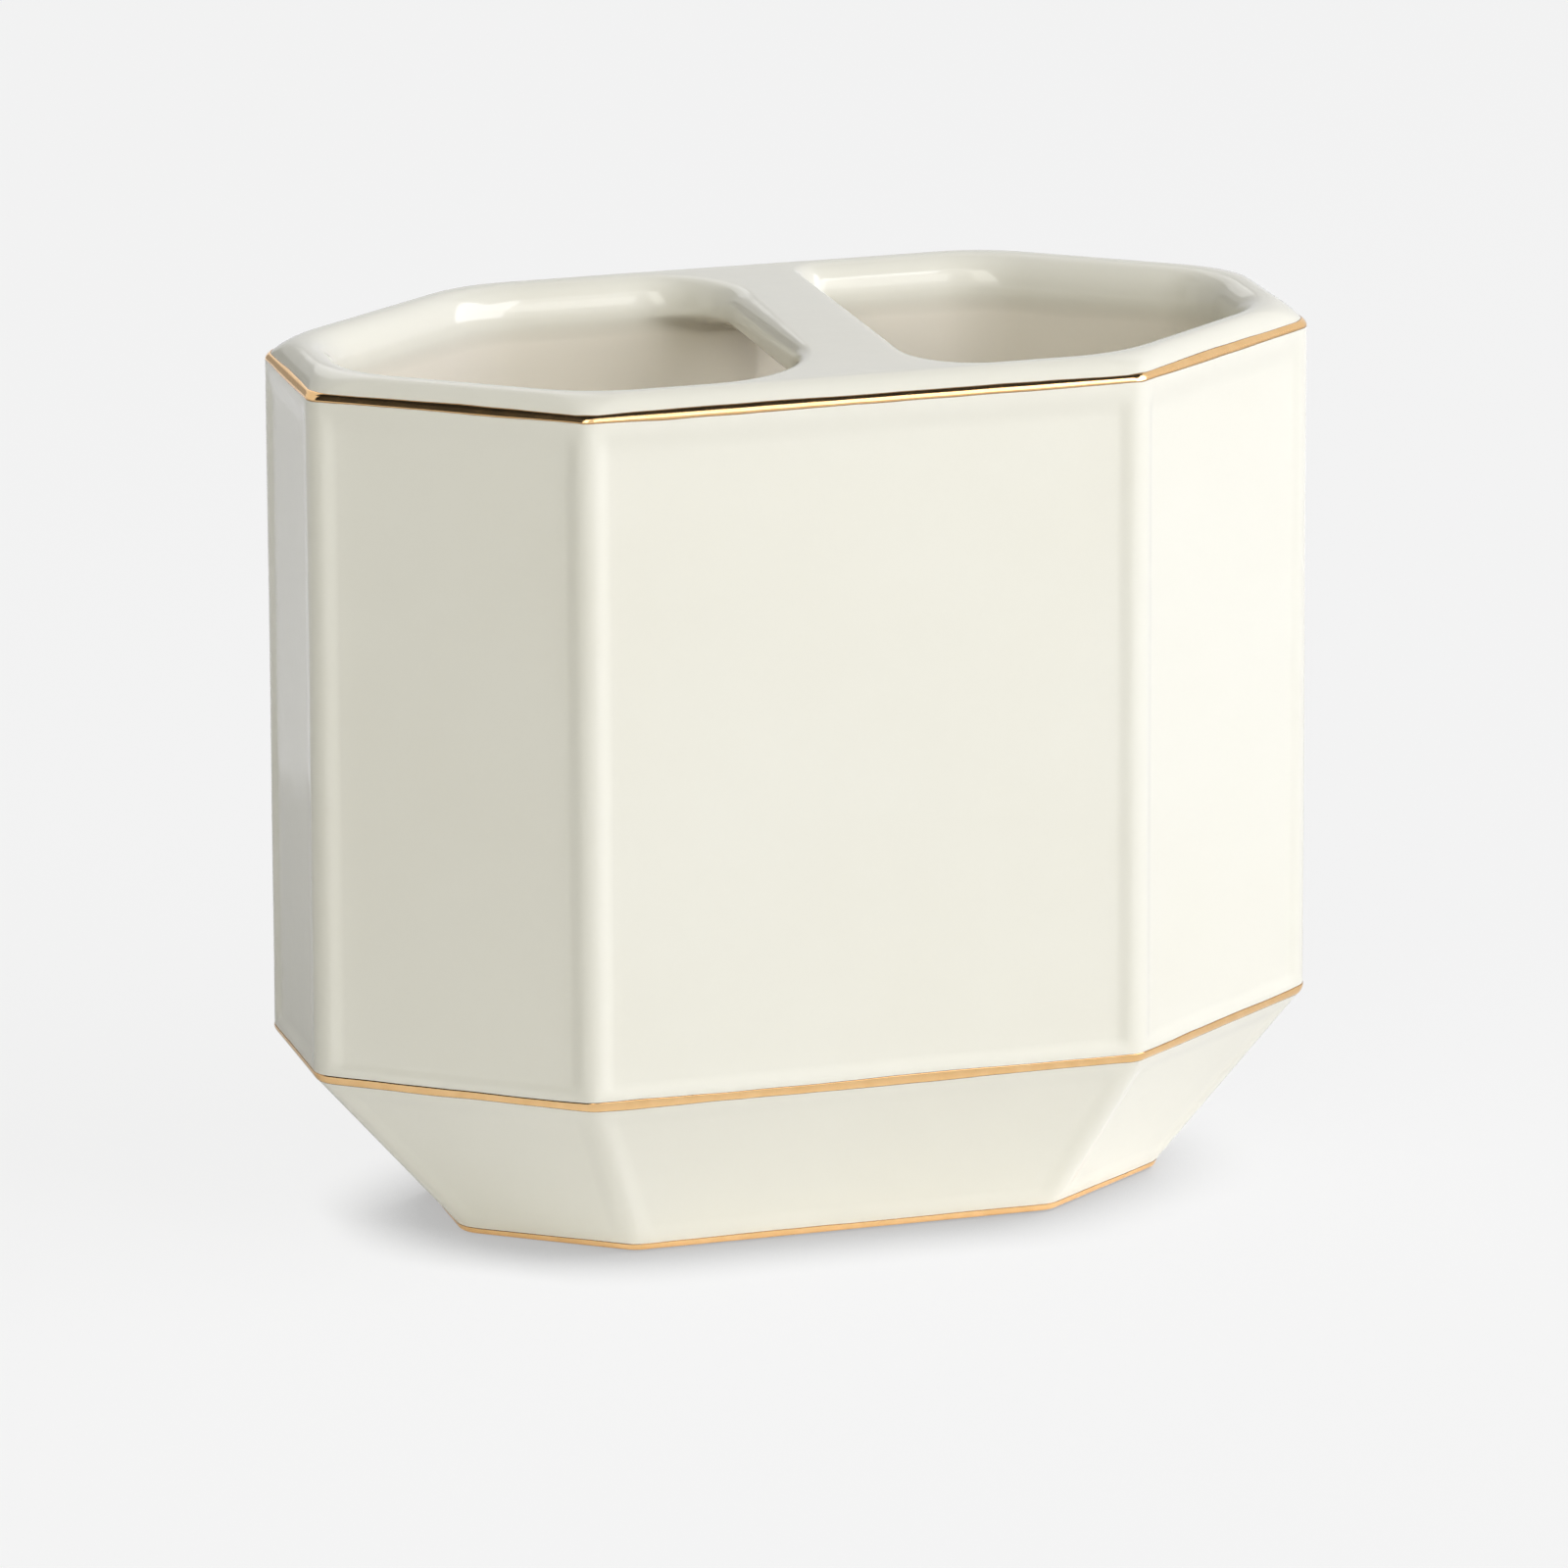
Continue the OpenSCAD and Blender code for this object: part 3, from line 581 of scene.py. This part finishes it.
def along_column(values, lengths, place):
    """Reads a column of values, one per ring, at a length along it."""
    k = np.clip(np.searchsorted(lengths, place) - 1, 0, len(lengths) - 2)
    share = (place - lengths[k]) / (lengths[k + 1] - lengths[k])
    return mix(values[k], values[k + 1], share)


def brush_wander(p, seed):
    """How far the brush strays from its line at a point, in millimetres."""
    slow = noise.noise(Vector(p) / BRUSH_SLOW_LENGTH + Vector((seed, 0, 0)))
    quick = noise.noise(Vector(p) / BRUSH_QUICK_LENGTH + Vector((0, seed, 0)))
    return BRUSH_SLOW * slow + BRUSH_QUICK * quick


def gold_line(name, rings, normals, row, below, above, seed):
    """A brushed band of lustre that follows the vessel's rings, below and above one of its rows."""
    shares = np.linspace(0, 1, LINE_ROWS + 1)
    lifts = LINE_LIFT + LINE_CROWN * np.sqrt(np.sin(np.pi * shares))
    grid = Grid()
    columns = []
    for c in range(rings.shape[1]):
        column, normal = rings[:, c], normals[:, c]
        steps = np.linalg.norm(np.diff(column, axis=0), axis=1)
        lengths = np.concatenate([[0], np.cumsum(steps)])
        low = lengths[row] - below + brush_wander(column[row], seed)
        high = lengths[row] + above + brush_wander(column[row], seed + UPPER_EDGE_SHIFT)
        places = np.linspace(low, high, LINE_ROWS + 1)
        on = [along_column(column, lengths, s) for s in places]
        out = [unit_vector(along_column(normal, lengths, s)) for s in places]
        top = [p + n * lift for p, n, lift in zip(on, out, lifts)]
        bottom = [p - n * LINE_ROOT for p, n in zip(on, out)]
        columns.append(grid.add(top + bottom[::-1]))
    grid.bands(columns + [columns[0]])
    line = piece(name, grid.array(), [f[::-1] for f in grid.faces])
    paint(line, "across", np.tile([*shares, *shares[::-1]], len(columns)))
    return line


def build_pad(name, x, y):
    """A clear pad with softened edges, stuck to the hollow under the foot."""
    top, r = FOOT_Z + RECESS_H, PAD_D / 2
    profile = [(r * share, 0.0) for share in PAD_SHARES]
    for a in np.linspace(0, math.pi / 2, PAD_BEND_STEPS + 1):
        profile.append((r - PAD_SOFT + PAD_SOFT * math.sin(a), PAD_SOFT - PAD_SOFT * math.cos(a)))
    profile += [(r, top - PAD_SOFT), (r, top)]
    turns = np.exp(2j * np.pi * np.arange(PAD_STEPS) / PAD_STEPS)
    grid = Grid()
    loops = [grid.add(lifted(complex(x, y) + turns * radius, z)) for radius, z in profile]
    grid.bands([loop[::-1] for loop in loops])
    grid.faces += [tuple(loops[0][::-1]), tuple(loops[-1])]
    return piece(name, grid.array(), grid.faces)


# Material nodes
def new_material(name):
    material = bpy.data.materials.new(name)
    material.use_nodes = True
    tree = material.node_tree
    shader = tree.nodes["Principled BSDF"]
    return material, tree, shader


def node(tree, kind, inputs=None, **settings):
    """A new node. An input is another node's output, which is linked, or a plain value."""
    made = tree.nodes.new(kind)
    for key, value in settings.items():
        setattr(made, key, value)
    for key, value in (inputs or {}).items():
        if isinstance(value, bpy.types.NodeSocket):
            tree.links.new(value, made.inputs[key])
        else:
            made.inputs[key].default_value = value
    return made


def maths(tree, operation, *values):
    return node(tree, "ShaderNodeMath", dict(enumerate(values)), operation=operation).outputs[0]


def attribute(tree, name):
    return node(tree, "ShaderNodeAttribute", attribute_name=name).outputs["Fac"]


def object_place(tree):
    return node(tree, "ShaderNodeTexCoord").outputs["Object"]


def object_noise(tree, scale, detail):
    inputs = {"Vector": object_place(tree), "Scale": scale, "Detail": detail}
    return node(tree, "ShaderNodeTexNoise", inputs).outputs["Fac"]


def ranged(tree, value, low, high, from_low=NOISE_LOW, from_high=NOISE_HIGH):
    return node(tree, "ShaderNodeMapRange", {
        "Value": value, "From Min": from_low, "From Max": from_high, "To Min": low, "To Max": high,
    }).outputs["Result"]


def value_mix(tree, share, a, b):
    """A mix of two values, which are the inputs 2 and 3 of a Mix node."""
    return node(tree, "ShaderNodeMix", {0: share, 2: a, 3: b}).outputs[0]


def colour_mix(tree, share, a, b):
    """A mix of two colours, which are the inputs 6 and 7 of a Mix node, and the output 2."""
    made = tree.nodes.new("ShaderNodeMix")
    made.data_type = "RGBA"
    for index, value in ((0, share), (6, a), (7, b)):
        if isinstance(value, bpy.types.NodeSocket):
            tree.links.new(value, made.inputs[index])
        else:
            made.inputs[index].default_value = value if index == 0 else (*value, 1)
    return made.outputs[2]


def bumped(tree, shader, height, relief):
    strength, distance = relief
    bump = node(tree, "ShaderNodeBump", {"Height": height, "Strength": strength, "Distance": distance})
    tree.links.new(bump.outputs["Normal"], shader.inputs["Normal"])


# Materials
def pinholes(tree):
    """1 in the few small pinholes of the glaze, and 0 around them."""
    cells = node(tree, "ShaderNodeTexVoronoi", {"Vector": object_place(tree), "Scale": PINHOLE_CELLS})
    speck = maths(tree, "LESS_THAN", cells.outputs["Distance"], PINHOLE_R)
    picked = node(tree, "ShaderNodeSeparateColor", {"Color": cells.outputs["Color"]}).outputs[0]
    return maths(tree, "MULTIPLY", speck, maths(tree, "GREATER_THAN", picked, PINHOLE_RARITY))


def glaze_material():
    """A cream glaze with pinholes, orange peel and painted light inside, and the bare clay of the foot's
    ring.
    """
    material, tree, shader = new_material("cream_glaze")
    bare, inside = attribute(tree, "bare"), attribute(tree, "inside")
    glaze = colour_mix(tree, ranged(tree, object_noise(tree, *TINT), 0, 1), CREAM, WARM_CREAM)
    # Painted light: deeper in the cavity the cream turns paler and warmer, as light bounced there makes it
    # look.
    glaze = colour_mix(tree, inside, glaze, INSIDE_PAINTED_LIGHT_CREAM)
    glaze = colour_mix(tree, pinholes(tree), glaze, PINHOLE_COLOUR)
    grain = object_noise(tree, *GRAIN)
    clay = colour_mix(tree, ranged(tree, grain, 0, 1), CLAY, PALE_CLAY)
    tree.links.new(colour_mix(tree, bare, glaze, clay), shader.inputs["Base Color"])

    gloss = ranged(tree, object_noise(tree, *GLOSS), *GLAZE_ROUGHNESS)
    tree.links.new(value_mix(tree, bare, gloss, CLAY_ROUGHNESS), shader.inputs["Roughness"])

    peel, fine_peel = object_noise(tree, *PEEL), object_noise(tree, *FINE_PEEL)
    height = maths(tree, "MULTIPLY_ADD", fine_peel, FINE_PEEL_SHARE, peel)
    bumped(tree, shader, maths(tree, "MULTIPLY_ADD", grain, bare, height), GLAZE_RELIEF)
    shader.inputs["IOR"].default_value = GLAZE_IOR
    return material


def gold_material():
    """Brushed gold lustre, which is thinner and browner at both edges of a line."""
    material, tree, shader = new_material("gold_lustre")
    from_middle = maths(tree, "ABSOLUTE", maths(tree, "SUBTRACT", attribute(tree, "across"), 0.5))
    thin = ranged(tree, from_middle, 0, 1, THIN_GOLD_FROM, 0.5)
    streaks = object_noise(tree, *STREAKS)
    gold = colour_mix(tree, ranged(tree, streaks, 0, 1), GOLD, DEEP_GOLD)
    tree.links.new(colour_mix(tree, thin, gold, THIN_GOLD), shader.inputs["Base Color"])
    tree.links.new(ranged(tree, streaks, *GOLD_ROUGHNESS), shader.inputs["Roughness"])
    bumped(tree, shader, streaks, GOLD_RELIEF)
    shader.inputs["Metallic"].default_value = 1.0
    return material


def pad_material():
    """A clear soft plastic, a little uneven in tone and gloss."""
    material, tree, shader = new_material("clear_pad")
    tone = ranged(tree, object_noise(tree, *PAD_TINT), 0, 1)
    tree.links.new(colour_mix(tree, tone, CLEAR_PALE, CLEAR_DARK), shader.inputs["Base Color"])
    rough = ranged(tree, object_noise(tree, *PAD_GRAIN), *PAD_ROUGHNESS)
    tree.links.new(rough, shader.inputs["Roughness"])
    shader.inputs["Transmission Weight"].default_value = PAD_TRANSMISSION
    shader.inputs["IOR"].default_value = PAD_IOR
    return material


def dress(obj, material, slot, *nodes):
    """Gives a piece its material and its place in the frame, and hides the nodes of model.glb that it stands
    for.
    """
    obj.data.materials.append(material)
    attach(obj, "root")
    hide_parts(*nodes)


def build_holder():
    glaze, gold, clear = glaze_material(), gold_material(), pad_material()
    vessel, rings, normals, rows = build_vessel()
    dress(vessel, glaze, "glaze", "vessel")
    for place, (below, above, seed) in LINES.items():
        line = gold_line(f"{place}_lustre", rings, normals, rows[place], below, above, seed)
        dress(line, gold, "gold_lustre", f"{place}_gold_line")
    recess = inset(FOOT_OUTLINE, FOOT_RING_W + RECESS_H)
    pad_x, pad_y = recess[2], recess[1] - PAD_D / 2 - PAD_GAP
    for side, x in (("left", -pad_x), ("right", pad_x)):
        for end, y in (("front", -pad_y), ("back", pad_y)):
            pad = build_pad(f"clear_pad_{end}_{side}", x, y)
            dress(pad, clear, "clear_pad", f"grip_pad_{end}_{side}")


# Stage
def grey(level):
    return (level, level, level, 1)


def ray_share(tree, *names):
    """1 for the named kinds of rays and 0 for all others."""
    path = node(tree, "ShaderNodeLightPath")
    share = path.outputs[names[0]]
    for name in names[1:]:
        share = maths(tree, "MAXIMUM", share, path.outputs[name])
    return share


def shown_floor(tree):
    """What the eye sees: an evenly lit floor, darker close to the object, as its contact shadow."""
    lit = node(tree, "ShaderNodeBsdfDiffuse", {"Color": grey(FLOOR_SHOWN_COLOUR)}).outputs[0]
    lean = node(tree, "ShaderNodeCombineXYZ", dict(enumerate(CONTACT_LEAN))).outputs[0]
    reach = {"Distance": CONTACT_REACH, "Normal": lean}
    open_share = node(tree, "ShaderNodeAmbientOcclusion", reach, samples=CONTACT_SAMPLES).outputs["AO"]
    closed_share = ranged(tree, open_share, 1, 0, CONTACT_FROM, 1)
    faded = maths(tree, "POWER", closed_share, CONTACT_FADE)
    glow = ranged(tree, faded, FLOOR_GLOW, FLOOR_GLOW * (1 - CONTACT_DEPTH), 0, 1)
    glowing = node(tree, "ShaderNodeEmission", {"Strength": glow}).outputs[0]
    return node(tree, "ShaderNodeAddShader", {0: lit, 1: glowing}).outputs[0]


def reflected_floor(tree):
    """What other rays see: a plain floor without that shadow, which glows in reflections."""
    plain = node(tree, "ShaderNodeBsdfDiffuse", {"Color": grey(FLOOR_COLOUR)}).outputs[0]
    y = node(tree, "ShaderNodeSeparateXYZ", {0: object_place(tree)}).outputs["Y"]
    wander = ranged(tree, object_noise(tree, *FLOOR_RAGS), -FAR_WANDER / 2, FAR_WANDER / 2)
    back = maths(tree, "ADD", y, wander)
    glow = ranged(tree, back, NEAR_GLOW, FAR_GLOW, FAR_Y, FAR_Y + FAR_WANDER / 4)
    sheen = maths(tree, "MULTIPLY", ray_share(tree, "Is Glossy Ray"), glow)
    glowing = node(tree, "ShaderNodeEmission", {"Color": FAR_COLOUR, "Strength": sheen}).outputs[0]
    return node(tree, "ShaderNodeAddShader", {0: plain, 1: glowing}).outputs[0]


def floor_material():
    """A pale floor, clear from below and to shadow rays, so that the lamp below reaches the object."""
    material = bpy.data.materials.new("pale_floor")
    material.use_nodes = True
    tree = material.node_tree
    tree.nodes.clear()
    direct = ray_share(tree, "Is Camera Ray", "Is Transmission Ray")
    floors = {0: direct, 1: reflected_floor(tree), 2: shown_floor(tree)}
    top = node(tree, "ShaderNodeMixShader", floors).outputs[0]
    below = node(tree, "ShaderNodeNewGeometry").outputs["Backfacing"]
    passed = maths(tree, "MAXIMUM", below, ray_share(tree, "Is Shadow Ray"))
    clear = node(tree, "ShaderNodeBsdfTransparent").outputs[0]
    both = node(tree, "ShaderNodeMixShader", {0: passed, 1: top, 2: clear}).outputs[0]
    node(tree, "ShaderNodeOutputMaterial", {"Surface": both})
    return material


def flat_square(name, place):
    """A square of one face. Its corners are what place makes of the four pairs of -1 and 1."""
    signs = (-1, -1), (1, -1), (1, 1), (-1, 1)
    return piece(name, [place(x, y) for x, y in signs], [(0, 1, 2, 3)], smooth_shaded=False)


def build_stage():
    half = FLOOR_SIZE / 2 / MM
    floor = flat_square("floor", lambda x, y: (x * half, y * half, 0))
    floor.data.materials.append(floor_material())


def build_world():
    """An even backdrop, whose own light on the object is weak."""
    world = bpy.data.worlds.new("studio")
    bpy.context.scene.world = world
    world.use_nodes = True
    tree = world.node_tree
    tree.nodes.clear()
    ambient = node(tree, "ShaderNodeBackground", {"Color": WORLD_COLOUR, "Strength": WORLD_STRENGTH})
    shown = node(tree, "ShaderNodeBackground", {"Color": grey(BACKGROUND), "Strength": 1.0})
    direct = ray_share(tree, "Is Camera Ray", "Is Glossy Ray", "Is Transmission Ray")
    every = node(tree, "ShaderNodeMixShader", {0: direct, 1: ambient.outputs[0], 2: shown.outputs[0]})
    node(tree, "ShaderNodeOutputWorld", {"Surface": every.outputs[0]})


# Light
def toward(azimuth, elevation):
    """The direction from the object to a place round it. Azimuth 0 is in front, and 90 to the right."""
    a, e = math.radians(azimuth), math.radians(elevation)
    return Vector((math.sin(a) * math.cos(e), -math.cos(a) * math.cos(e), math.sin(e)))


def softbox(name, azimuth, elevation, width, height, power, colour):
    """A rectangular lamp that shines at the object."""
    data = bpy.data.lights.new(name, "AREA")
    data.shape = "RECTANGLE"
    data.size, data.size_y = width, height
    data.energy = power
    data.color = colour
    lamp = bpy.data.objects.new(name, data)
    back = toward(azimuth, elevation)
    lamp.location = OBJECT_MIDDLE + back * LAMP_DISTANCE
    lamp.rotation_mode = "QUATERNION"
    lamp.rotation_quaternion = (-back).to_track_quat("-Z", "Y")
    lamp.visible_camera = False
    bpy.context.scene.collection.objects.link(lamp)
    return lamp


def flag(name, azimuth, elevation, distance, width, height, glow):
    """A card that only shows in reflections, as a photographer sets beside polished metal."""
    back = toward(azimuth, elevation)
    turn = (-back).to_track_quat("-Z", "Y").to_matrix()
    middle = OBJECT_MIDDLE + back * distance
    card = flat_square(name, lambda x, y: (middle + turn @ Vector((x * width / 2, y * height / 2, 0))) / MM)
    material, _, shader = new_material(name)
    shader.inputs["Base Color"].default_value = grey(CARD_COLOUR)
    shader.inputs["Roughness"].default_value = 1.0
    shader.inputs["Emission Color"].default_value = grey(1)
    shader.inputs["Emission Strength"].default_value = glow
    card.data.materials.append(material)
    for rays in ("camera", "diffuse", "transmission", "shadow", "volume_scatter"):
        setattr(card, f"visible_{rays}", False)


def build_light():
    for name, values in LAMPS.items():
        lamp = softbox(name, *values)
        lamp.visible_glossy = name not in FILLS
    for name, values in CARDS.items():
        flag(name, *values)


# Camera
def build_camera():
    """A camera that aims at VIEW_AIM from VIEW_DISTANCE away."""
    data = bpy.data.cameras.new("camera")
    data.lens, data.sensor_width = VIEW_LENS, VIEW_SENSOR
    data.clip_start, data.clip_end = VIEW_CLIP
    camera = bpy.data.objects.new("camera", data)
    back = toward(VIEW_AZIMUTH, VIEW_ELEVATION)
    upright = (-back).to_track_quat("-Z", "Y").to_matrix()
    roll = Matrix.Rotation(math.radians(VIEW_ROLL), 3, "Z")
    camera.matrix_world = Matrix.Translation(VIEW_AIM + back * VIEW_DISTANCE) @ (upright @ roll).to_4x4()
    bpy.context.scene.collection.objects.link(camera)
    bpy.context.scene.camera = camera


build_holder()
build_stage()
build_world()
build_light()
build_camera()
bpy.context.scene.view_settings.view_transform = "Standard"
